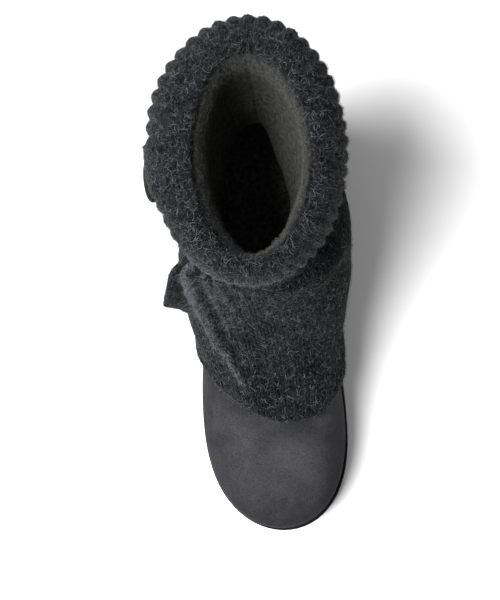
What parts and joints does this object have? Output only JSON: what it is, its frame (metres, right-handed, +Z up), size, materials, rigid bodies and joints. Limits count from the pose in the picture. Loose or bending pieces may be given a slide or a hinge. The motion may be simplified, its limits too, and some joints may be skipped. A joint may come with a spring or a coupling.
{
  "type": "knitted-shaft suede boot",
  "caption": "Right pull-on winter boot: suede foot, low rubber sole, loose knitted sleeve, turned-down ribbed cuff with a lapped end and one large button.",
  "frame": {"origin": "on the floor under the middle of the heel, on the heel's tread", "axes": "-Y towards the toe, +X towards the inner side of the foot, +Z up"},
  "size_m": [0.1118, 0.3014, 0.209],
  "materials": {
    "rubber": "matte black",
    "suede": "grey suede with a short nap",
    "insole": "dark fleece",
    "knit": "charcoal melange wool knit",
    "button": "black, satin"
  },
  "bodies": {
    "root": {"outsole": "rubber", "insole": "insole", "upper": "suede", "knit_sleeve": "knit", "ribbed_cuff": "knit", "cuff_button": "button", "side_flap": "knit"}
  },
  "joints": []
}
